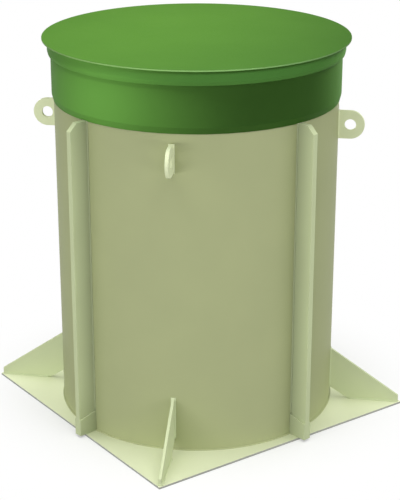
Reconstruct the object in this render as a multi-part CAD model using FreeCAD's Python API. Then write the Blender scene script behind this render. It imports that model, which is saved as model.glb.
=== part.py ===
"""Round well caisson welded from polypropylene sheet, on a square anchoring base, with a lift-off lid.

Millimetres, +Z up. The origin is the centre of the base plate's underside, and the plate's sides are
parallel to X and Y. Front is -Y and right is +X.
"""

import FreeCAD, Part
import math
import os

# Shell
BODY_RADIUS = 500.0
BODY_WALL = 8.0
BODY_HEIGHT = 1350.0

# Base plate
PLATE_SIDE = 1084.0
PLATE_THICKNESS = 8.0

# Sleeve for the well casing
SLEEVE_BORE_RADIUS = 82.0
SLEEVE_WALL = 8.0
SLEEVE_STAND = 100.0

# Neck band round the top of the shell
NECK_WALL = 7.0
NECK_HEIGHT = 210.0
NECK_LIP_WALL = 2.0
NECK_LIP_HEIGHT = 20.0

# Lid
LID_DISC_THICKNESS = 5.0
LID_DISC_EDGE_RADIUS = 2.0
LID_OVERHANG = 18.0
LID_SKIRT_WALL = 5.0
LID_SKIRT_DEPTH = 50.0
LID_LIP_WALL = 2.0
LID_LIP_HEIGHT = 12.0
LID_CLEARANCE = 6.0

# Upright ribs, one to each side of the base
RIB_THICKNESS = 20.0
RIB_DEPTH = 72.0
RIB_TOP_BEVEL_WIDTH = 28.0
RIB_TOP_BEVEL_HEIGHT = 26.0
RIB_TURN = 7.0

# Doubling cheeks on both faces of each rib's foot
CHEEK_THICKNESS = 5.0
CHEEK_OUTER_HEIGHT = 62.0
CHEEK_ROOT_HEIGHT = 78.0

# Corner gussets along the diagonals of the base
GUSSET_THICKNESS = 10.0
GUSSET_HEIGHT = 200.0
GUSSET_TOE_HEIGHT = 25.0
GUSSET_TOE_SETBACK = 6.0
GUSSET_RELIEF_WIDTH = 70.0
GUSSET_RELIEF_HEIGHT = 44.0

# Lifting lugs above the corners
LUG_THICKNESS = 12.0
LUG_HEIGHT = 100.0
LUG_REACH = 42.0
LUG_HOLE_RADIUS = 20.0
LUG_NECK_DROP = 36.0

# Levels and radii that several pieces share
PLATE_TOP = PLATE_THICKNESS
BODY_TOP = PLATE_TOP + BODY_HEIGHT
NECK_BOTTOM = BODY_TOP - NECK_HEIGHT
NECK_RADIUS = BODY_RADIUS + NECK_WALL
SKIRT_INNER_RADIUS = NECK_RADIUS + LID_CLEARANCE
SKIRT_RADIUS = SKIRT_INNER_RADIUS + LID_SKIRT_WALL
SKIRT_BOTTOM = BODY_TOP - LID_SKIRT_DEPTH
SLEEVE_RADIUS = SLEEVE_BORE_RADIUS + SLEEVE_WALL

UP = FreeCAD.Vector(0, 0, 1)
ORIGIN = FreeCAD.Vector(0, 0, 0)

# The segments of a ring run anticlockwise from +X, named for the side and the half of it
SEGMENT_NAMES = (
    "right_back", "back_right", "back_left", "left_back",
    "left_front", "front_left", "front_right", "right_front",
)
SIDE_NAMES = ("right", "back", "left", "front")
CORNER_NAMES = ("back_right", "back_left", "front_left", "front_right")
QUARTER = 90.0
HALF_QUARTER = QUARTER / 2
SEGMENT_TURN = 4 * QUARTER / len(SEGMENT_NAMES)


def save(name, *solids):
    """Write one named piece, made of one solid or of several that stand apart."""
    shape = solids[0] if len(solids) == 1 else Part.makeCompound(list(solids))
    shape.exportStep(os.path.join("parts", name + ".step"))


def face_in_section(points):
    """Flat face in the X-Z plane from (radius, height) points."""
    corners = [FreeCAD.Vector(radius, 0, height) for radius, height in points]
    return Part.Face(Part.makePolygon(corners + corners[:1]))


def turned(shape, degrees):
    """Copy of a shape turned about the caisson's axis."""
    copy = shape.copy()
    copy.rotate(ORIGIN, UP, degrees)
    return copy


def radial_sheet(points, thickness, offset=0.0):
    """Upright sheet in the X-Z plane, centred offset to the side, and coped to the round shell."""
    face = face_in_section(points)
    face.translate(FreeCAD.Vector(0, offset - thickness / 2, 0))
    sheet = face.extrude(FreeCAD.Vector(0, thickness, 0))
    shell = Part.makeCylinder(BODY_RADIUS, BODY_TOP)
    return sheet.cut(shell).Solids[0]


def save_ring(prefix, section):
    """Write the equal rolled panels of a ring, from the section of its wall, each under its own name."""
    panel = face_in_section(section).revolve(ORIGIN, UP, SEGMENT_TURN)
    for index, place in enumerate(SEGMENT_NAMES):
        save(f"{prefix}_{place}", turned(panel, index * SEGMENT_TURN))


def wall_section(inner, outer, bottom, top):
    """Section of a plain upright wall."""
    return [(inner, bottom), (outer, bottom), (outer, top), (inner, top)]


def lipped_section(inner, outer, bottom, top, lip_wall, lip_height):
    """Section of an upright wall whose outer face slopes in to a thin lip at the bottom."""
    return [(inner, bottom), (inner + lip_wall, bottom), (outer, bottom + lip_height), (outer, top), (inner, top)]


def base_plate():
    """Square sheet with the hole that the casing sleeve is welded into."""
    corner = FreeCAD.Vector(-PLATE_SIDE / 2, -PLATE_SIDE / 2, 0)
    sheet = Part.makeBox(PLATE_SIDE, PLATE_SIDE, PLATE_THICKNESS, corner)
    return sheet.cut(Part.makeCylinder(SLEEVE_RADIUS, PLATE_THICKNESS))


def casing_sleeve():
    """Short pipe through the base plate, flush below, that the well casing comes up through."""
    height = PLATE_THICKNESS + SLEEVE_STAND
    return Part.makeCylinder(SLEEVE_RADIUS, height).cut(Part.makeCylinder(SLEEVE_BORE_RADIUS, height))


def lid_disc():
    """Flat round top with a softened upper edge, resting on the rim of the shell and its neck."""
    disc = Part.makeCylinder(SKIRT_RADIUS + LID_OVERHANG, LID_DISC_THICKNESS, FreeCAD.Vector(0, 0, BODY_TOP))
    disc_top = BODY_TOP + LID_DISC_THICKNESS
    upper_edges = [edge for edge in disc.Edges if edge.BoundBox.ZMin > disc_top - LID_DISC_EDGE_RADIUS / 2]
    return disc.makeFillet(LID_DISC_EDGE_RADIUS, upper_edges)


def rib():
    """Upright bar from the base plate to the neck band, bevelled at its outer top corner."""
    outer = BODY_RADIUS + RIB_DEPTH
    return radial_sheet(
        [
            (BODY_RADIUS - BODY_WALL, PLATE_TOP),
            (outer, PLATE_TOP),
            (outer, NECK_BOTTOM - RIB_TOP_BEVEL_HEIGHT),
            (outer - RIB_TOP_BEVEL_WIDTH, NECK_BOTTOM),
            (BODY_RADIUS - BODY_WALL, NECK_BOTTOM),
        ],
        RIB_THICKNESS,
    )


def rib_cheek(side):
    """Doubling plate on one face of a rib's foot, its top edge rising towards the shell."""
    outer = BODY_RADIUS + RIB_DEPTH
    return radial_sheet(
        [
            (BODY_RADIUS - BODY_WALL, PLATE_TOP),
            (outer, PLATE_TOP),
            (outer, PLATE_TOP + CHEEK_OUTER_HEIGHT),
            (BODY_RADIUS, PLATE_TOP + CHEEK_ROOT_HEIGHT),
            (BODY_RADIUS - BODY_WALL, PLATE_TOP + CHEEK_ROOT_HEIGHT),
        ],
        CHEEK_THICKNESS,
        side * (RIB_THICKNESS + CHEEK_THICKNESS) / 2,
    )


def corner_gusset():
    """Sloping sheet from a corner of the base to the shell, relieved over the shell's foot."""
    toe = PLATE_SIDE / 2 * math.sqrt(2) - GUSSET_THICKNESS / 2 - GUSSET_TOE_SETBACK
    return radial_sheet(
        [
            (BODY_RADIUS + GUSSET_RELIEF_WIDTH, PLATE_TOP),
            (toe, PLATE_TOP),
            (toe, PLATE_TOP + GUSSET_TOE_HEIGHT),
            (BODY_RADIUS, PLATE_TOP + GUSSET_HEIGHT),
            (BODY_RADIUS - BODY_WALL, PLATE_TOP + GUSSET_HEIGHT),
            (BODY_RADIUS - BODY_WALL, PLATE_TOP + GUSSET_RELIEF_HEIGHT),
            (BODY_RADIUS, PLATE_TOP + GUSSET_RELIEF_HEIGHT),
        ],
        GUSSET_THICKNESS,
    )


def lifting_lug():
    """Upright eye plate with a fully rounded outer end and a hole for a sling shackle."""
    level = NECK_BOTTOM - LUG_NECK_DROP - LUG_HEIGHT / 2
    half = LUG_HEIGHT / 2
    centre = BODY_RADIUS + LUG_REACH
    root = BODY_RADIUS - BODY_WALL
    top_start = FreeCAD.Vector(root, 0, level + half)
    top_end = FreeCAD.Vector(centre, 0, level + half)
    nose = FreeCAD.Vector(centre + half, 0, level)
    foot_end = FreeCAD.Vector(centre, 0, level - half)
    foot_start = FreeCAD.Vector(root, 0, level - half)
    outline = Part.Wire(
        [
            Part.makeLine(top_start, top_end),
            Part.Arc(top_end, nose, foot_end).toShape(),
            Part.makeLine(foot_end, foot_start),
            Part.makeLine(foot_start, top_start),
        ]
    )
    face = Part.Face(outline)
    face.translate(FreeCAD.Vector(0, -LUG_THICKNESS / 2, 0))
    plate = face.extrude(FreeCAD.Vector(0, LUG_THICKNESS, 0))
    eye_start = FreeCAD.Vector(centre, -LUG_THICKNESS, level)
    eye = Part.makeCylinder(LUG_HOLE_RADIUS, 2 * LUG_THICKNESS, eye_start, FreeCAD.Vector(0, 1, 0))
    return plate.cut(eye).cut(Part.makeCylinder(BODY_RADIUS, BODY_TOP)).Solids[0]


os.makedirs("parts", exist_ok=True)

save("base_plate", base_plate())
save("casing_sleeve", casing_sleeve())
save_ring("body_wall", wall_section(BODY_RADIUS - BODY_WALL, BODY_RADIUS, PLATE_TOP, BODY_TOP))
neck_section = lipped_section(BODY_RADIUS, NECK_RADIUS, NECK_BOTTOM, BODY_TOP, NECK_LIP_WALL, NECK_LIP_HEIGHT)
save_ring("neck_band", neck_section)

one_rib = rib()
cheeks = [rib_cheek(side) for side in (-1, 1)]
for index, place in enumerate(SIDE_NAMES):
    turn = index * QUARTER + RIB_TURN
    save(f"rib_{place}", turned(one_rib, turn))
    save(f"rib_foot_{place}", *[turned(cheek, turn) for cheek in cheeks])

one_gusset = corner_gusset()
one_lug = lifting_lug()
for index, place in enumerate(CORNER_NAMES):
    turn = index * QUARTER + HALF_QUARTER
    save(f"corner_gusset_{place}", turned(one_gusset, turn))
    save(f"lifting_lug_{place}", turned(one_lug, turn))

save("lid_disc", lid_disc())
skirt_section = lipped_section(
    SKIRT_INNER_RADIUS, SKIRT_RADIUS, SKIRT_BOTTOM, BODY_TOP, LID_LIP_WALL, LID_LIP_HEIGHT
)
save_ring("lid_skirt", skirt_section)
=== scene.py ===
"""Well caisson of welded polypropylene sheet: a drum with a green neck and a loose lid, on a square base."""

import math

import bpy
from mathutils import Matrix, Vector


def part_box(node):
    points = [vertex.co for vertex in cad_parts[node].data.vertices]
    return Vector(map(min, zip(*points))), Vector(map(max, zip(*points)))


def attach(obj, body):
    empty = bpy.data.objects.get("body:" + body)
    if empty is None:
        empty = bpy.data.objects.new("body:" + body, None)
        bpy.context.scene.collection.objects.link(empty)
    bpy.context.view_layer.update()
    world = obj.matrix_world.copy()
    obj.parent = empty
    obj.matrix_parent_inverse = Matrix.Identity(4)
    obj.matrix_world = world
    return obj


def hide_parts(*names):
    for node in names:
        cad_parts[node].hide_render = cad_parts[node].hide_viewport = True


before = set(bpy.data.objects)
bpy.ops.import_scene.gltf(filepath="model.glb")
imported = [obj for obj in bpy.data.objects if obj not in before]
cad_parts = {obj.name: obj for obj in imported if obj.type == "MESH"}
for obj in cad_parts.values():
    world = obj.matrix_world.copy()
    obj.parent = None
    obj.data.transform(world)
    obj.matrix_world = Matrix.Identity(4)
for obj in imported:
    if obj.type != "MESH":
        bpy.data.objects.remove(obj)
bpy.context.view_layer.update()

# Base plate
# A square of cream polypropylene sheet, cut on a panel saw, that lies on the bed of the pit. The drum, the
# ribs and the gussets are welded onto it, and a round hole in its middle takes the casing sleeve.

MM = 0.001
HOLE_SIDES = 96
CUTTER_LENGTH = 32 * MM
ARRIS = 1.2 * MM
ARRIS_STEPS = 2
ARRIS_ANGLE = math.radians(10)
# At full weight the large flats alone decide how an arris is shaded.
FLAT_WEIGHT = 100


def start_piece():
    """Leave nothing selected, so that the next operator acts on the new primitive alone."""
    if bpy.context.object and bpy.context.object.mode != "OBJECT":
        bpy.ops.object.mode_set(mode="OBJECT")
    bpy.ops.object.select_all(action="DESELECT")


def take_up(piece):
    """Make one piece the only selected one and the active one."""
    start_piece()
    piece.select_set(True)
    bpy.context.view_layer.objects.active = piece


def settle_piece(name):
    """Name the active object and put its place, turn and scale into its mesh."""
    piece = bpy.context.object
    piece.name = name
    piece.data.name = name
    bpy.ops.object.transform_apply(location=True, rotation=True, scale=True)
    return piece


def apply_modifier(piece, kind, **settings):
    """Add one modifier to a piece and apply it."""
    take_up(piece)
    modifier = piece.modifiers.new(kind.title(), kind)
    for key, value in settings.items():
        setattr(modifier, key, value)
    bpy.ops.object.modifier_apply(modifier=modifier.name)


def work_with(piece, tool, operation):
    """Cut one solid out of a piece, or weld it on, and throw the tool solid away."""
    apply_modifier(piece, "BOOLEAN", operation=operation, object=tool, solver="EXACT")
    bpy.data.objects.remove(tool)


def break_arrises(piece, angle=ARRIS_ANGLE):
    """Round the sharp edges as a scraper leaves them, and keep the flats flat to the eye."""
    apply_modifier(piece, "BEVEL", width=ARRIS, segments=ARRIS_STEPS, limit_method="ANGLE",
                   angle_limit=angle)
    bpy.ops.object.shade_smooth()
    apply_modifier(piece, "WEIGHTED_NORMAL", weight=FLAT_WEIGHT, keep_sharp=False)


def linear(colour):
    """Linear RGBA of an sRGB hex colour, by the curve of the sRGB standard."""
    parts = [int(colour[k:k + 2], 16) / 255 for k in (1, 3, 5)]
    return [c / 12.92 if c <= 0.04045 else ((c + 0.055) / 1.055) ** 2.4 for c in parts] + [1.0]


def put(tree, kind, values=None, joins=None, **options):
    """Add a shader node: options are its own settings, values go on its sockets and joins feed them."""
    node = tree.nodes.new(kind)
    for key, value in options.items():
        setattr(node, key, value)
    for key, value in (values or {}).items():
        node.inputs[key].default_value = value
    for key, source in (joins or {}).items():
        tree.links.new(source, node.inputs[key])
    return node


# The sockets of a colour Mix node go by number, because their names repeat for each kind of value.
MIX_SHARE = 0
MIX_FIRST = 6
MIX_SECOND = 7
MIX_RESULT = 2
POLYPROPYLENE_IOR = 1.49
SKIN_SPECULAR = 0.05


def bare_polypropylene(name):
    """New material as dull as waxy polypropylene, with the tree, shader and place that a pattern needs."""
    material = bpy.data.materials.new(name)
    material.use_nodes = True
    tree = material.node_tree
    shader = tree.nodes["Principled BSDF"]
    shader.inputs["IOR"].default_value = POLYPROPYLENE_IOR
    shader.inputs["Specular IOR Level"].default_value = SKIN_SPECULAR
    place = put(tree, "ShaderNodeTexCoord").outputs["Object"]
    return material, tree, shader, place


CLOUD = 240 * MM
CLOUD_DETAIL = 4.0
CLOUD_START = 0.35
CLOUD_END = 0.65
SCUFF_LENGTH = 120 * MM
SCUFF_WIDTH = 3 * MM
SCUFF_DETAIL = 2.0
SCUFF_START = 0.3
SCUFF_END = 0.7
SCUFF_POLISH = 0.05
SCUFF_DULLING = 0.06
ROLL_WAVE = 210 * MM
ROLL_DETAIL = 0.0
ROLL_DEPTH = 0.7 * MM
# A calendered skin has a peel of about 1 mm, drawn coarser here so that it shows at this distance.
PEEL = 6 * MM
PEEL_DETAIL = 1.0
PEEL_DEPTH = 0.05 * MM


def calendered_polypropylene(name, face, cloud, roughness):
    """Polypropylene sheet from the calender: a waxy satin skin over a colour that is a little cloudy.

    The colour drifts from face to cloud over a hand's breadth, fine upright scuffs break the gloss, and the
    slow wave of a rolled sheet and a faint orange peel bend the reflections.
    """
    material, tree, shader, place = bare_polypropylene(name)

    drift = put(tree, "ShaderNodeTexNoise", {"Scale": 1 / CLOUD, "Detail": CLOUD_DETAIL}, {"Vector": place})
    share = put(tree, "ShaderNodeMapRange", {"From Min": CLOUD_START, "From Max": CLOUD_END},
                {"Value": drift.outputs["Fac"]})
    tone = put(tree, "ShaderNodeMix", {MIX_FIRST: linear(face), MIX_SECOND: linear(cloud)},
               {MIX_SHARE: share.outputs["Result"]}, data_type="RGBA")
    tree.links.new(tone.outputs[MIX_RESULT], shader.inputs["Base Color"])

    drawn = put(tree, "ShaderNodeMapping",
                {"Scale": (1 / SCUFF_WIDTH, 1 / SCUFF_WIDTH, 1 / SCUFF_LENGTH)}, {"Vector": place})
    scuff = put(tree, "ShaderNodeTexNoise", {"Scale": 1.0, "Detail": SCUFF_DETAIL},
                {"Vector": drawn.outputs["Vector"]})
    gloss = put(tree, "ShaderNodeMapRange",
                {"From Min": SCUFF_START, "From Max": SCUFF_END,
                 "To Min": roughness - SCUFF_POLISH, "To Max": roughness + SCUFF_DULLING},
                {"Value": scuff.outputs["Fac"]})
    tree.links.new(gloss.outputs["Result"], shader.inputs["Roughness"])

    wave = put(tree, "ShaderNodeTexNoise", {"Scale": 1 / ROLL_WAVE, "Detail": ROLL_DETAIL},
               {"Vector": place})
    rolled = put(tree, "ShaderNodeBump", {"Distance": ROLL_DEPTH}, {"Height": wave.outputs["Fac"]})
    peel = put(tree, "ShaderNodeTexNoise", {"Scale": 1 / PEEL, "Detail": PEEL_DETAIL}, {"Vector": place})
    skin = put(tree, "ShaderNodeBump", {"Distance": PEEL_DEPTH},
               {"Height": peel.outputs["Fac"], "Normal": rolled.outputs["Normal"]})
    tree.links.new(skin.outputs["Normal"], shader.inputs["Normal"])
    return material


# The blade's marks are under 1 mm apart and are drawn coarser here so that they show.
SAW_PITCH = 5 * MM
SAW_DETAIL = 2.0
SAW_DEPTH = 0.15 * MM
SAWN_ROUGHNESS = 0.7


def sawn_polypropylene(name, face, score):
    """Edge of the sheet as the panel saw leaves it: dull and scored straight across, and coloured greyer and
    darker than the face, a painted shade on the edge.
    """
    material, tree, shader, place = bare_polypropylene(name)
    shader.inputs["Roughness"].default_value = SAWN_ROUGHNESS
    along = put(tree, "ShaderNodeMapping", {"Scale": (1 / SAW_PITCH, 1 / SAW_PITCH, 0.0)},
                {"Vector": place})
    marks = put(tree, "ShaderNodeTexNoise", {"Scale": 1.0, "Detail": SAW_DETAIL},
                {"Vector": along.outputs["Vector"]})
    tone = put(tree, "ShaderNodeMix", {MIX_FIRST: linear(face), MIX_SECOND: linear(score)},
               {MIX_SHARE: marks.outputs["Fac"]}, data_type="RGBA")
    tree.links.new(tone.outputs[MIX_RESULT], shader.inputs["Base Color"])
    cut = put(tree, "ShaderNodeBump", {"Distance": SAW_DEPTH}, {"Height": marks.outputs["Fac"]})
    tree.links.new(cut.outputs["Normal"], shader.inputs["Normal"])
    return material


def coat(piece, *materials):
    """Give a piece its materials, the first one all over."""
    piece.data.materials.clear()
    for material in materials:
        piece.data.materials.append(material)


def fit_on(piece, body, slot, *nodes):
    """Fit a piece on the body it belongs to and hide the parts of model.glb that it stands for; slot is not
    used.
    """
    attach(piece, body)
    if nodes:
        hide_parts(*nodes)


cream_sheet = calendered_polypropylene(
    "cream_polypropylene_sheet", face="#D8DEBB", cloud="#D4DAB7", roughness=0.5)
# The plate's edge is coloured grey and darker than its face: the saw marks are real, the darkness is painted
# shade.
cream_edge_painted_shade = sawn_polypropylene("cream_polypropylene_sawn_edge_painted_shade", face="#B1B2AA", score="#9EA097")
plate_low, plate_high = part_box("base_plate")
plate_top = plate_high.z
plate_side = plate_high.x - plate_low.x
_, sleeve_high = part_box("casing_sleeve")
sleeve_radius = sleeve_high.x

start_piece()
bpy.ops.mesh.primitive_cube_add(size=1, location=(0, 0, plate_top / 2),
                                scale=(plate_side, plate_side, plate_top))
base_plate = settle_piece("base_plate_sheet")
start_piece()
bpy.ops.mesh.primitive_cylinder_add(vertices=HOLE_SIDES, radius=sleeve_radius, depth=CUTTER_LENGTH)
work_with(base_plate, bpy.context.object, "DIFFERENCE")
break_arrises(base_plate)
coat(base_plate, cream_sheet, cream_edge_painted_shade)
rim = plate_side / 2 - ARRIS / 4
for face in base_plate.data.polygons:
    face.material_index = 1 if max(abs(face.center.x), abs(face.center.y)) > rim else 0
fit_on(base_plate, "caisson", "pale_sheet", "base_plate")

# Casing sleeve
# A short length of thick pipe through the floor, which the well casing comes up through. It is sawn
# square, its rims are broken with a scraper, and a bead of the same plastic welds it to the plate.

SLEEVE_WALL = 8 * MM
BEAD_LEG = 4 * MM
BEAD_SIDES = 16
BEAD_STEP = 14 * MM
BEAD_WANDER = 1.2 * MM
BEAD_LUMP = 22 * MM
MERGE_GAP = 0.01 * MM
olive_sheet = calendered_polypropylene(
    "olive_polypropylene_sheet", face="#A9AF83", cloud="#A6AC81", roughness=0.48)
hand_wander = bpy.data.textures.new("hand_wander", "CLOUDS")
hand_wander.noise_scale = BEAD_LUMP


def rolled_wall(name, radius, wall, low, high, sides):
    """Round wall: an open cylinder that gets its thickness inwards."""
    start_piece()
    bpy.ops.mesh.primitive_cylinder_add(vertices=sides, radius=radius, depth=high - low,
                                        end_fill_type="NOTHING", location=(0, 0, (low + high) / 2))
    piece = settle_piece(name)
    apply_modifier(piece, "SOLIDIFY", thickness=wall, offset=-1)
    return piece


def bead_section(corner, first, second, leg):
    """Open edit mode on the section of a weld bead: a quarter round in the corner between two sheets."""
    start_piece()
    bpy.ops.mesh.primitive_circle_add(vertices=BEAD_SIDES, radius=leg, fill_type="NGON", location=corner,
                                      rotation=first.cross(second).to_track_quat("Z", "Y").to_euler())
    settle_piece("bead")
    bpy.ops.object.mode_set(mode="EDIT")
    for way in (first, second):
        bpy.ops.mesh.select_all(action="SELECT")
        bpy.ops.mesh.bisect(plane_co=corner, plane_no=way, clear_inner=True)
    bpy.ops.mesh.select_all(action="SELECT")


def lay_bead(name):
    """Close the bead that was just drawn out, and make it as uneven as one laid by hand."""
    bpy.ops.mesh.select_all(action="SELECT")
    bpy.ops.mesh.remove_doubles(threshold=MERGE_GAP)
    bpy.ops.mesh.normals_make_consistent(inside=False)
    bpy.ops.object.mode_set(mode="OBJECT")
    bead = settle_piece(name)
    apply_modifier(bead, "DISPLACE", texture=hand_wander, strength=BEAD_WANDER, texture_coords="GLOBAL")
    bpy.ops.object.shade_smooth()
    return bead


def bead_round(name, radius, level, outwards, upwards, leg=BEAD_LEG):
    """Weld bead in the corner between a round wall and a flat sheet, run once round the axis."""
    bead_section(Vector((radius, 0, level)), Vector((outwards, 0, 0)), Vector((0, 0, upwards)), leg)
    bpy.ops.mesh.delete(type="ONLY_FACE")
    bpy.ops.mesh.select_all(action="SELECT")
    steps = round(math.tau * radius / BEAD_STEP)
    bpy.ops.mesh.spin(steps=steps, angle=math.tau, center=(0, 0, 0), axis=(0, 0, 1))
    return lay_bead(name)


def weld_on(beads, material, body, slot):
    """Give beads the plastic of the sheet that they hold, and fit them on the same body."""
    for bead in beads:
        coat(bead, material)
        fit_on(bead, body, slot)


sleeve = rolled_wall("casing_sleeve_pipe", sleeve_radius, SLEEVE_WALL, 0.0, sleeve_high.z, HOLE_SIDES)
break_arrises(sleeve)
coat(sleeve, olive_sheet)
fit_on(sleeve, "caisson", "body_sheet", "casing_sleeve")
sleeve_bead = bead_round("casing_sleeve_weld", sleeve_radius, plate_top, 1, 1)
weld_on([sleeve_bead], olive_sheet, "caisson", "body_sheet")

# Drum
# Olive-beige sheet rolled round and butt-welded into the upright wall of the chamber. It stands on the
# plate and is welded to it inside and outside, and its seam runs up the back, between a rib and a lug.

OCTANTS = ("right_back", "back_right", "back_left", "left_back",
           "left_front", "front_left", "front_right", "right_front")
DRUM_SIDES = 192
DRUM_WALL = 8 * MM
SEAM_WIDTH = 14 * MM
SEAM_PROUD = 1.6 * MM
SEAM_SUNK = SEAM_PROUD / 4
SEAM_SIDES = 24
DRUM_SEAM = math.radians(118)


def octants(ring):
    """Names of the eight nodes that a ring is cut into."""
    return [f"{ring}_{place}" for place in OCTANTS]


def butt_seam(name, radius, low, high, angle, outwards):
    """Butt weld of a rolled sheet: a low flat bead that stands proud of one face of the wall."""
    start_piece()
    bpy.ops.mesh.primitive_circle_add(vertices=SEAM_SIDES, radius=1, fill_type="NGON",
                                      location=(radius, 0, low))
    bpy.context.object.scale = (SEAM_PROUD, SEAM_WIDTH / 2, 1)
    settle_piece("seam")
    bpy.ops.object.mode_set(mode="EDIT")
    bpy.ops.mesh.select_all(action="SELECT")
    bpy.ops.mesh.bisect(plane_co=(radius - outwards * SEAM_SUNK, 0, low), plane_no=(outwards, 0, 0),
                        clear_inner=True)
    bpy.ops.mesh.select_all(action="SELECT")
    steps = round((high - low) / BEAD_STEP)
    for _ in range(steps):
        bpy.ops.mesh.extrude_region_move(TRANSFORM_OT_translate={"value": (0, 0, (high - low) / steps)})
    bpy.ops.object.mode_set(mode="OBJECT")
    bpy.context.object.rotation_euler.z = angle
    settle_piece("seam")
    bpy.ops.object.mode_set(mode="EDIT")
    return lay_bead(name)


_, drum_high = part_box("body_wall_right_back")
drum_radius = drum_high.x
drum_top = drum_high.z
drum_inner = drum_radius - DRUM_WALL
neck_low, neck_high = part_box("neck_band_right_back")
neck_bottom = neck_low.z
drum = rolled_wall("drum_wall", drum_radius, DRUM_WALL, plate_top, drum_top, DRUM_SIDES)
break_arrises(drum)
coat(drum, olive_sheet)
fit_on(drum, "caisson", "body_sheet", *octants("body_wall"))
drum_beads = [
    bead_round("drum_foot_weld_outside", drum_radius, plate_top, 1, 1),
    bead_round("drum_foot_weld_inside", drum_inner, plate_top, -1, 1),
    butt_seam("drum_seam_outside", drum_radius, plate_top, neck_bottom, DRUM_SEAM, 1),
    butt_seam("drum_seam_inside", drum_inner, plate_top, drum_top - SEAM_WIDTH, DRUM_SEAM, -1),
]
weld_on(drum_beads, olive_sheet, "caisson", "body_sheet")

# Neck band
# A leaf-green strip of the same plastic, rolled round the top of the drum. It stiffens the rim and guides
# the lid, its lower edge is planed to a thin lip, and a fine bead closes the lip against the drum.

NECK_BEAD = 2 * MM
NECK_LIP_WALL = 2 * MM
NECK_LIP_HEIGHT = 20 * MM
NECK_SEAM = math.radians(72)
PICK_MARGIN = 1 * MM
green_sheet = calendered_polypropylene(
    "green_polypropylene_sheet", face="#639842", cloud="#609540", roughness=0.55)


def plane_off_lip(piece, radius, lip_radius, low, height):
    """Plane the outer face of a round wall inwards over its lowest part, down to a thin lip."""
    take_up(piece)
    bpy.ops.object.mode_set(mode="EDIT")
    bpy.ops.mesh.select_all(action="SELECT")
    bpy.ops.mesh.bisect(plane_co=(0, 0, low + height), plane_no=(0, 0, 1))
    bpy.ops.mesh.select_mode(type="VERT")
    bpy.ops.mesh.select_all(action="DESELECT")
    bpy.ops.object.mode_set(mode="OBJECT")
    for corner in piece.data.vertices:
        corner.select = corner.co.z < low + PICK_MARGIN and corner.co.xy.length > radius - PICK_MARGIN
    bpy.ops.object.mode_set(mode="EDIT")
    shrink = lip_radius / radius
    bpy.ops.transform.resize(value=(shrink, shrink, 1), center_override=(0, 0, low))
    bpy.ops.object.mode_set(mode="OBJECT")


neck_radius = neck_high.x
neck_wall = neck_radius - drum_radius
neck = rolled_wall("neck_band_strip", neck_radius, neck_wall, neck_bottom, drum_top, DRUM_SIDES)
plane_off_lip(neck, neck_radius, drum_radius + NECK_LIP_WALL, neck_bottom, NECK_LIP_HEIGHT)
break_arrises(neck)
coat(neck, green_sheet)
fit_on(neck, "caisson", "green_sheet", *octants("neck_band"))
neck_beads = [
    bead_round("neck_band_weld", drum_radius, neck_bottom, 1, -1, NECK_BEAD),
    butt_seam("neck_band_seam", neck_radius, neck_bottom + NECK_LIP_HEIGHT, drum_top - SEAM_WIDTH,
              NECK_SEAM, 1),
]
weld_on(neck_beads, green_sheet, "caisson", "green_sheet")

# Upright ribs
# Bars of pale olive sheet set on edge against the drum, one to each side of the base, from the plate up to
# the neck band. The top corner is sawn off, a cheek doubles each face at the foot, and beads run up both
# sides of the root.

SIDES = ("right", "back", "left", "front")
QUARTER = math.radians(90)
OUTWARDS = Vector((1, 0, 0))
RIB_TURN = math.radians(7)
RIB_DEPTH = 72 * MM
RIB_THICKNESS = 20 * MM
RIB_BEVEL_WIDTH = 28 * MM
RIB_BEVEL_HEIGHT = 26 * MM
CHEEK_THICKNESS = 5 * MM
CHEEK_OUTER_HEIGHT = 62 * MM
CHEEK_ROOT_HEIGHT = 78 * MM
rib_sheet = calendered_polypropylene(
    "rib_polypropylene_sheet", face="#C4CEA3", cloud="#C1CAA0", roughness=0.52)


def paint_root_shade(material, root, near, far):
    """Darken a sheet's colour towards the drum's axis, from far to near: a painted shade in the corner where
    the sheet meets the drum.
    """
    tree = material.node_tree
    base = tree.nodes["Principled BSDF"].inputs["Base Color"]
    unshaded = base.links[0].from_socket
    place = put(tree, "ShaderNodeTexCoord").outputs["Object"]
    level = put(tree, "ShaderNodeVectorMath", {1: (1, 1, 0)}, {0: place}, operation="MULTIPLY")
    reach = put(tree, "ShaderNodeVectorMath", None, {0: level.outputs["Vector"]}, operation="LENGTH")
    share = put(tree, "ShaderNodeMapRange", {"From Min": near, "From Max": far},
                {"Value": reach.outputs["Value"]})
    tone = put(tree, "ShaderNodeMix", {MIX_FIRST: linear(root)},
               {MIX_SHARE: share.outputs["Result"], MIX_SECOND: unshaded}, data_type="RGBA")
    tree.links.new(tone.outputs[MIX_RESULT], base)


def drum_face(offset):
    """Distance along X at which the drum's round face lies, at an offset to the side of its axis."""
    return math.sqrt(drum_radius ** 2 - offset ** 2)


def radial_board(name, outer, middle, thickness, low, high):
    """Upright board that stands square to the drum on the +X side, its root against the round wall."""
    start_piece()
    root = drum_face(abs(middle) + thickness / 2)
    bpy.ops.mesh.primitive_cube_add(size=1, location=((root + outer) / 2, middle, (low + high) / 2),
                                    scale=(outer - root, thickness, high - low))
    return settle_piece(name)


def saw_off(piece, start, end):
    """Saw a board along the line between two (radius, height) points and drop what lies on its right."""
    take_up(piece)
    along = Vector((end[0] - start[0], 0, end[1] - start[1]))
    bpy.ops.object.mode_set(mode="EDIT")
    bpy.ops.mesh.select_all(action="SELECT")
    bpy.ops.mesh.bisect(plane_co=(start[0], 0, start[1]), plane_no=along.cross(Vector((0, -1, 0))),
                        use_fill=True, clear_outer=True)
    bpy.ops.object.mode_set(mode="OBJECT")


def join_pieces(name, pieces):
    """Join several meshes into one named piece."""
    take_up(pieces[0])
    for piece in pieces[1:]:
        piece.select_set(True)
    bpy.ops.object.join()
    return settle_piece(name)


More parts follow.
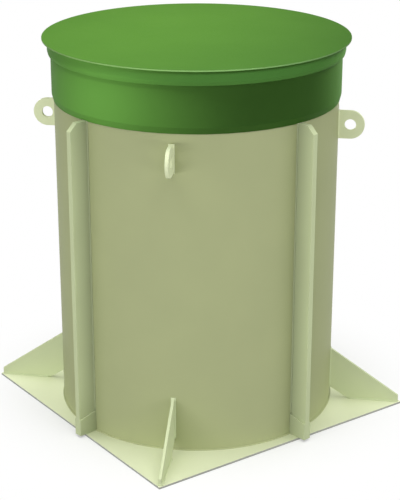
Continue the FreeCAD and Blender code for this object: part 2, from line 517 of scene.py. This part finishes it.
def bead_straight(name, corner, end, first, second):
    """Weld bead in the corner between two flat sheets, from one point to another."""
    bead_section(corner, first, second, BEAD_LEG)
    steps = round((end - corner).length / BEAD_STEP)
    for _ in range(steps):
        bpy.ops.mesh.extrude_region_move(TRANSFORM_OT_translate={"value": (end - corner) / steps})
    return lay_bead(name)


def beads_both_sides(name, corner, end, first):
    """Pair of weld beads along the two faces of a board, mirrored across it."""
    beads = []
    for side in (-1, 1):
        mirror = Vector((1, side, 1))
        beads.append(bead_straight(name, corner * mirror, end * mirror, first, Vector((0, side, 0))))
    return join_pieces(name, beads)


def root_beads(name, thickness, low, high):
    """Pair of weld beads up the root of a board, where it meets the drum."""
    half = thickness / 2
    root = drum_face(half)
    return beads_both_sides(name, Vector((root, half, low)), Vector((root, half, high)), OUTWARDS)


def set_round(pattern, places, first_turn, name, slot, node=None):
    """Set copies of a piece round the drum, a quarter turn apart, and throw the pattern away.

    The braces in name and node stand for each copy's place.
    """
    for index, place in enumerate(places):
        copy = pattern.copy()
        copy.data = pattern.data.copy()
        bpy.context.collection.objects.link(copy)
        copy.rotation_euler.z = first_turn + index * QUARTER
        take_up(copy)
        settle_piece(name.format(place))
        nodes = [node.format(place)] if node else []
        fit_on(copy, "caisson", slot, *nodes)
    bpy.data.objects.remove(pattern)


rib_outer = drum_radius + RIB_DEPTH
# The rib's colour darkens towards its root, a painted shade in the corner against the drum.
paint_root_shade(rib_sheet, root="#9EA683", near=drum_radius, far=rib_outer)
rib = radial_board("rib", rib_outer, 0, RIB_THICKNESS, plate_top, neck_bottom)
saw_off(rib, (rib_outer, neck_bottom - RIB_BEVEL_HEIGHT), (rib_outer - RIB_BEVEL_WIDTH, neck_bottom))
break_arrises(rib)
coat(rib, rib_sheet)

cheek_root = plate_top + CHEEK_ROOT_HEIGHT
cheeks = []
for side in (-1, 1):
    middle = side * (RIB_THICKNESS + CHEEK_THICKNESS) / 2
    cheek = radial_board("cheek", rib_outer, middle, CHEEK_THICKNESS, plate_top, cheek_root)
    saw_off(cheek, (rib_outer, plate_top + CHEEK_OUTER_HEIGHT), (drum_radius, cheek_root))
    break_arrises(cheek)
    cheeks.append(cheek)
rib_foot = join_pieces("rib_foot", cheeks)
coat(rib_foot, rib_sheet)

rib_beads = root_beads("rib_weld", RIB_THICKNESS, cheek_root, neck_bottom)
coat(rib_beads, rib_sheet)
set_round(rib, SIDES, RIB_TURN, "rib_{}_bar", "brace_sheet", "rib_{}")
set_round(rib_foot, SIDES, RIB_TURN, "rib_foot_{}_cheeks", "brace_sheet", "rib_foot_{}")
set_round(rib_beads, SIDES, RIB_TURN, "rib_{}_weld", "brace_sheet")

# Corner gussets
# Sloping boards of the same pale olive sheet from each corner of the plate to the drum. Their inner lower
# corner is sawn off to clear the weld at the drum's foot, and the toe ends blunt, a little short of the
# plate's corner.

CORNERS = ("back_right", "back_left", "front_left", "front_right")
CORNER_TURN = QUARTER / 2
UPWARDS = Vector((0, 0, 1))
GUSSET_THICKNESS = 10 * MM
GUSSET_HEIGHT = 200 * MM
GUSSET_TOE_HEIGHT = 25 * MM
GUSSET_TOE_SETBACK = 6 * MM
GUSSET_RELIEF_WIDTH = 70 * MM
GUSSET_RELIEF_HEIGHT = 44 * MM
brace_sheet = calendered_polypropylene(
    "brace_polypropylene_sheet", face="#CAD3AA", cloud="#C6CFA7", roughness=0.52)
half_gusset = GUSSET_THICKNESS / 2
gusset_toe = plate_side / 2 * math.sqrt(2) - half_gusset - GUSSET_TOE_SETBACK
gusset_top = plate_top + GUSSET_HEIGHT
relief_outer = drum_radius + GUSSET_RELIEF_WIDTH
relief_top = plate_top + GUSSET_RELIEF_HEIGHT
gusset = radial_board("gusset", gusset_toe, 0, GUSSET_THICKNESS, plate_top, gusset_top)
saw_off(gusset, (gusset_toe, plate_top + GUSSET_TOE_HEIGHT), (drum_radius, gusset_top))
saw_off(gusset, (drum_radius, relief_top), (relief_outer, plate_top))
break_arrises(gusset)
coat(gusset, brace_sheet)
gusset_beads = join_pieces("gusset_weld", [
    beads_both_sides("foot_weld", Vector((relief_outer, half_gusset, plate_top)),
                     Vector((gusset_toe, half_gusset, plate_top)), UPWARDS),
    root_beads("root_weld", GUSSET_THICKNESS, relief_top, gusset_top),
])
coat(gusset_beads, brace_sheet)
set_round(gusset, CORNERS, CORNER_TURN, "corner_gusset_{}_board", "brace_sheet", "corner_gusset_{}")
set_round(gusset_beads, CORNERS, CORNER_TURN, "corner_gusset_{}_weld", "brace_sheet")

# Lifting lugs
# Thick cream eye plates high on the drum above the corners, with a fully rounded end and a bored hole for
# the shackle of a sling. They are welded to the drum along both faces.

LUG_THICKNESS = 12 * MM
LUG_HEIGHT = 100 * MM
LUG_REACH = 42 * MM
LUG_HOLE = 20 * MM
LUG_NECK_DROP = 36 * MM
LUG_SIDES = 96
lug_sheet = calendered_polypropylene(
    "lug_polypropylene_sheet", face="#E4EBC2", cloud="#E0E7BF", roughness=0.5)
lug_top = neck_bottom - LUG_NECK_DROP
lug_bottom = lug_top - LUG_HEIGHT
lug_centre = drum_radius + LUG_REACH


def bar_across_lug(radius, length):
    """Round bar square to a lug's faces, through the centre of its eye."""
    start_piece()
    bpy.ops.mesh.primitive_cylinder_add(vertices=LUG_SIDES, radius=radius, depth=length,
                                        location=(lug_centre, 0, (lug_top + lug_bottom) / 2),
                                        rotation=(QUARTER, 0, 0))
    return bpy.context.object


lug = radial_board("lug", lug_centre, 0, LUG_THICKNESS, lug_bottom, lug_top)
work_with(lug, bar_across_lug(LUG_HEIGHT / 2, LUG_THICKNESS), "UNION")
work_with(lug, bar_across_lug(LUG_HOLE, CUTTER_LENGTH), "DIFFERENCE")
break_arrises(lug)
coat(lug, lug_sheet)
lug_beads = root_beads("lug_weld", LUG_THICKNESS, lug_bottom, lug_top)
coat(lug_beads, lug_sheet)
set_round(lug, CORNERS, CORNER_TURN, "lifting_lug_{}_eye", "pale_sheet", "lifting_lug_{}")
set_round(lug_beads, CORNERS, CORNER_TURN, "lifting_lug_{}_weld", "pale_sheet")

# Lid
# A loose flat cover of green sheet that lies on the rim of the drum, its upper edge rounded with a router.
# Its edge is coloured a paler green, a painted highlight along the rim. A short skirt of the same sheet is
# welded under it and drops over the neck band with some play.

LID_EDGE = 2 * MM
LID_EDGE_STEPS = 4
LID_EDGE_ANGLE = math.radians(35)
LID_SKIRT_WALL = 5 * MM
LID_LIP_WALL = 2 * MM
LID_LIP_HEIGHT = 12 * MM
LID_BEAD = 3.5 * MM
LID_SEAM = math.radians(150)
# Upward share of a face's normal: above the first it is the flat top, and between the others the edge.
FLAT_TOP = 0.9
EDGE_LOWEST = -0.05
EDGE_HIGHEST = 0.95
# The paler green of the lid's edge is a painted highlight along the rim.
green_edge_painted_highlight = calendered_polypropylene(
    "green_polypropylene_edge_painted_highlight", face="#8BB36B", cloud="#87AF67", roughness=0.45)
disc_low, disc_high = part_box("lid_disc")
skirt_low, skirt_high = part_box("lid_skirt_right_back")
skirt_radius = skirt_high.x
start_piece()
bpy.ops.mesh.primitive_cylinder_add(vertices=DRUM_SIDES, radius=disc_high.x, depth=disc_high.z - disc_low.z,
                                    location=(0, 0, (disc_low.z + disc_high.z) / 2))
disc = settle_piece("lid_disc_sheet")
for face in disc.data.polygons:
    face.select = face.normal.z > FLAT_TOP
bpy.ops.object.mode_set(mode="EDIT")
bpy.ops.mesh.select_mode(type="FACE")
bpy.ops.mesh.region_to_loop()
bpy.ops.mesh.bevel(offset=LID_EDGE, segments=LID_EDGE_STEPS)
bpy.ops.object.mode_set(mode="OBJECT")
break_arrises(disc, LID_EDGE_ANGLE)
coat(disc, green_sheet, green_edge_painted_highlight)
for face in disc.data.polygons:
    face.material_index = 1 if EDGE_LOWEST < face.normal.z < EDGE_HIGHEST else 0
fit_on(disc, "lid", "green_sheet", "lid_disc")

skirt = rolled_wall("lid_skirt_strip", skirt_radius, LID_SKIRT_WALL, skirt_low.z, disc_low.z, DRUM_SIDES)
skirt_inner = skirt_radius - LID_SKIRT_WALL
plane_off_lip(skirt, skirt_radius, skirt_inner + LID_LIP_WALL, skirt_low.z, LID_LIP_HEIGHT)
break_arrises(skirt)
coat(skirt, green_sheet)
fit_on(skirt, "lid", "green_sheet", *octants("lid_skirt"))
lid_beads = [
    bead_round("lid_skirt_weld", skirt_radius, disc_low.z, 1, -1, LID_BEAD),
    butt_seam("lid_skirt_seam", skirt_radius, skirt_low.z + LID_LIP_HEIGHT, disc_low.z, LID_SEAM, 1),
]
weld_on(lid_beads, green_sheet, "lid", "green_sheet")

# Studio floor
# A wide round floor of matt pale board, in metres, turned up at its far edge so that low views have no
# horizon. It keeps the soft shadow round the plate, fades to white a step away from it, and throws little
# light back.

FLOOR_RADIUS = 60.0
FLOOR_SIDES = 96
FLOOR_UPTURN = 9.5
FLOOR_FADE_START = 0.2
FLOOR_FADE_END = 1.0
FLOOR_COLOUR = "#F2F2F0"
FLOOR_BOUNCE = "#8A8A88"
FLOOR_ROUGHNESS = 0.9
FLOOR_SPECULAR = 0.1
WHITE = "#FFFFFF"
start_piece()
bpy.ops.mesh.primitive_circle_add(vertices=FLOOR_SIDES, radius=FLOOR_RADIUS, fill_type="NGON")
floor = settle_piece("studio_floor")
bpy.ops.object.mode_set(mode="EDIT")
bpy.ops.mesh.select_mode(type="EDGE")
bpy.ops.mesh.select_all(action="SELECT")
bpy.ops.mesh.extrude_edges_move(TRANSFORM_OT_translate={"value": (0, 0, FLOOR_UPTURN)})
bpy.ops.object.mode_set(mode="OBJECT")

pale_floor = bpy.data.materials.new("pale_studio_floor")
pale_floor.use_nodes = True
floor_tree = pale_floor.node_tree
floor_shader = floor_tree.nodes["Principled BSDF"]
floor_shader.inputs["Roughness"].default_value = FLOOR_ROUGHNESS
floor_shader.inputs["Specular IOR Level"].default_value = FLOOR_SPECULAR
floor_place = put(floor_tree, "ShaderNodeTexCoord").outputs["Object"]
floor_reach = put(floor_tree, "ShaderNodeVectorMath", None, {0: floor_place}, operation="LENGTH")
fade = put(floor_tree, "ShaderNodeMapRange", {"From Min": FLOOR_FADE_START, "From Max": FLOOR_FADE_END},
           {"Value": floor_reach.outputs["Value"]}, interpolation_type="SMOOTHSTEP")
rays = put(floor_tree, "ShaderNodeLightPath").outputs
bounce = put(floor_tree, "ShaderNodeMix",
             {MIX_FIRST: linear(FLOOR_COLOUR), MIX_SECOND: linear(FLOOR_BOUNCE)},
             {MIX_SHARE: rays["Is Diffuse Ray"]}, data_type="RGBA")
floor_tree.links.new(bounce.outputs[MIX_RESULT], floor_shader.inputs["Base Color"])
in_gloss = put(floor_tree, "ShaderNodeMath", None, {0: rays["Is Camera Ray"], 1: rays["Is Glossy Ray"]},
               operation="ADD", use_clamp=True)
in_sight = put(floor_tree, "ShaderNodeMath", None,
               {0: in_gloss.outputs["Value"], 1: rays["Is Transmission Ray"]},
               operation="ADD", use_clamp=True)
share = put(floor_tree, "ShaderNodeMath", None, {0: fade.outputs["Result"], 1: in_sight.outputs["Value"]},
            operation="MULTIPLY")
white = put(floor_tree, "ShaderNodeEmission", {"Color": linear(WHITE), "Strength": 1.0})
blend = put(floor_tree, "ShaderNodeMixShader", None,
            {0: share.outputs["Value"], 1: floor_shader.outputs["BSDF"], 2: white.outputs["Emission"]})
floor_tree.links.new(blend.outputs["Shader"], floor_tree.nodes["Material Output"].inputs["Surface"])
coat(floor, pale_floor)

# Studio light
# Low soft boxes on four sides, a broad one overhead and a dim even sky light the pale pieces and the
# floor. The plate, the chamber, the lid and the green rings have soft lamps of their own, which leave all
# else alone.

SKY_LEVEL = 0.17
SKY_COLOUR = "#F4FBFF"
world = bpy.data.worlds.new("studio_sky")
bpy.context.scene.world = world
world.use_nodes = True
sky = world.node_tree.nodes["Background"]
sky.inputs["Color"].default_value = linear(SKY_COLOUR)
sky.inputs["Strength"].default_value = SKY_LEVEL

# Places are in metres. The camera's azimuth is in degrees from the front, a lamp's bearing from the camera.
CAMERA_AZIMUTH = 54.35
OPEN_SPREAD = 180.0
PLATE_MIDDLE = Vector((0, 0, 0))
DRUM_LOW = Vector((0, 0, 0.5))
DRUM_MIDDLE = Vector((0, 0, 0.6))
NECK_MIDDLE = Vector((0, 0, 1.25))
SKIRT_MIDDLE = Vector((0, 0, 1.33))
LID_MIDDLE = Vector((0, 0, 1.36))
LID_FRONT = Vector((0, -0.5, 1.36))
LOW_BOX = {"height": 0.45, "aim": DRUM_LOW}
HIGH_BOX = {"height": 8.0, "size": (8.0, 8.0)}
PLATE_LAMP = {"reach": 2.6, "height": 2.2, "aim": PLATE_MIDDLE, "size": (1.5, 1.5)}
LID_LAMP = {"size": (0.8, 0.8), "gloss": False}
NECK_LAMP = {"aim": NECK_MIDDLE, "gloss": False}


def group(name, pieces):
    """Collection of the pieces that a lamp lights."""
    collection = bpy.data.collections.new(name)
    for piece in pieces:
        collection.objects.link(piece)
    return collection


def soft_box(name, lit, bearing, reach, height, aim, size, watts, gloss=True, colour=WHITE,
             spread=OPEN_SPREAD, blockers=None):
    """Soft light for one group of pieces, at a reach from the drum's axis and aimed at a point.

    A grid of slats may narrow its spread, and where blockers are given, nothing else stands in its way.
    """
    lamp = bpy.data.lights.new(name, "AREA")
    lamp.shape = "RECTANGLE"
    lamp.size, lamp.size_y = size
    lamp.energy = watts
    lamp.color = linear(colour)[:3]
    lamp.spread = math.radians(spread)
    holder = bpy.data.objects.new(name, lamp)
    azimuth = math.radians(CAMERA_AZIMUTH + bearing)
    holder.location = (math.sin(azimuth) * reach, -math.cos(azimuth) * reach, height)
    holder.rotation_euler = (aim - holder.location).to_track_quat("-Z", "Y").to_euler()
    holder.visible_camera = False
    holder.visible_glossy = gloss
    holder.light_linking.receiver_collection = lit
    holder.light_linking.blocker_collection = blockers
    bpy.context.collection.objects.link(holder)


green_rings = [neck, skirt, *neck_beads, *lid_beads]
pale_pieces = [piece for piece in bpy.context.collection.objects
               if piece.type == "MESH" and piece != disc and piece not in green_rings]
pale = group("pale_pieces", pale_pieces)
off_plate = group("pale_off_plate", [piece for piece in pale_pieces if piece != base_plate])
plate_only = group("plate", [base_plate])
lid_top = group("lid_top", [disc])
lid = group("lid", [disc, skirt, *lid_beads])
rings = group("green_rings", green_rings)
chamber = group("chamber", [base_plate, sleeve, sleeve_bead, drum, *drum_beads])

soft_box("left_box", pale, bearing=-56, reach=4.2, size=(4.5, 0.8), watts=37, **LOW_BOX)
soft_box("front_box", pale, bearing=-24, reach=4.6, size=(4.0, 0.8), watts=62, **LOW_BOX)
soft_box("right_box", pale, bearing=58, reach=4.2, size=(4.5, 0.8), watts=67, **LOW_BOX)
soft_box("back_box", pale, bearing=180, reach=4.2, size=(4.5, 0.8), watts=112, **LOW_BOX)
soft_box("top_box", off_plate, bearing=0, reach=1.0, aim=DRUM_MIDDLE, watts=857, **HIGH_BOX)
soft_box("plate_box", plate_only, bearing=0, reach=0.0, aim=PLATE_MIDDLE, watts=925, **HIGH_BOX)
soft_box("plate_lamp_left", plate_only, bearing=-105, watts=18, **PLATE_LAMP)
soft_box("plate_lamp_right", plate_only, bearing=80, watts=9, **PLATE_LAMP)
# The lid casts no shade in the chamber, so that the open caisson can be seen into.
soft_box("chamber_lamp", chamber, bearing=0, reach=0.0, height=2.1, aim=PLATE_MIDDLE, size=(0.5, 0.5),
         watts=7, gloss=False, blockers=chamber)
soft_box("lid_lamp", lid_top, bearing=156, reach=4.0, height=4.2, aim=LID_FRONT, watts=10.4,
         colour="#FFFAD2", spread=28, **LID_LAMP)
soft_box("lid_fill", lid, bearing=20, reach=2.5, height=2.6, aim=SKIRT_MIDDLE, watts=28,
         colour="#D8EAFF", **LID_LAMP)
soft_box("rim_lamp", lid_top, bearing=-20, reach=2.5, height=1.36, aim=LID_MIDDLE, watts=30, **LID_LAMP)
soft_box("neck_lamp_left", rings, bearing=-37, reach=0.95, height=1.25, size=(0.15, 0.4), watts=1.2,
         **NECK_LAMP)
soft_box("neck_lamp_high", rings, bearing=-38, reach=0.9, height=2.31, size=(0.2, 0.4), watts=10.5,
         **NECK_LAMP)
soft_box("neck_lamp_side", rings, bearing=-85, reach=1.6, height=1.25, size=(0.3, 0.5), watts=2.1,
         **NECK_LAMP)
soft_box("neck_lamp_right", rings, bearing=122, reach=1.7, height=1.9, size=(0.3, 0.5), watts=22,
         **NECK_LAMP)
soft_box("neck_lamp_back", rings, bearing=-150, reach=1.4, height=1.9, size=(0.3, 0.5), watts=7.9,
         **NECK_LAMP)

# Camera
# It stands a little to the right of the front right corner, about a metre above the lid, and looks down on
# the caisson through a long lens. Its place is in metres, its angles in degrees and its lens in millimetres.

CAMERA_REACH = 5.0
CAMERA_HEIGHT = 2.455
CAMERA_PITCH = 20.74
CAMERA_YAW = 0.134
CAMERA_LENS = 105.26
CAMERA_SENSOR = 36.0
camera_data = bpy.data.cameras.new("camera")
camera_data.lens = CAMERA_LENS
camera_data.sensor_width = CAMERA_SENSOR
camera = bpy.data.objects.new("camera", camera_data)
bpy.context.collection.objects.link(camera)
facing = math.radians(CAMERA_AZIMUTH)
camera.location = (math.sin(facing) * CAMERA_REACH, -math.cos(facing) * CAMERA_REACH, CAMERA_HEIGHT)
camera.rotation_euler = (math.radians(90 - CAMERA_PITCH), 0, math.radians(CAMERA_AZIMUTH - CAMERA_YAW))
bpy.context.scene.camera = camera
bpy.context.scene.view_settings.view_transform = "Standard"
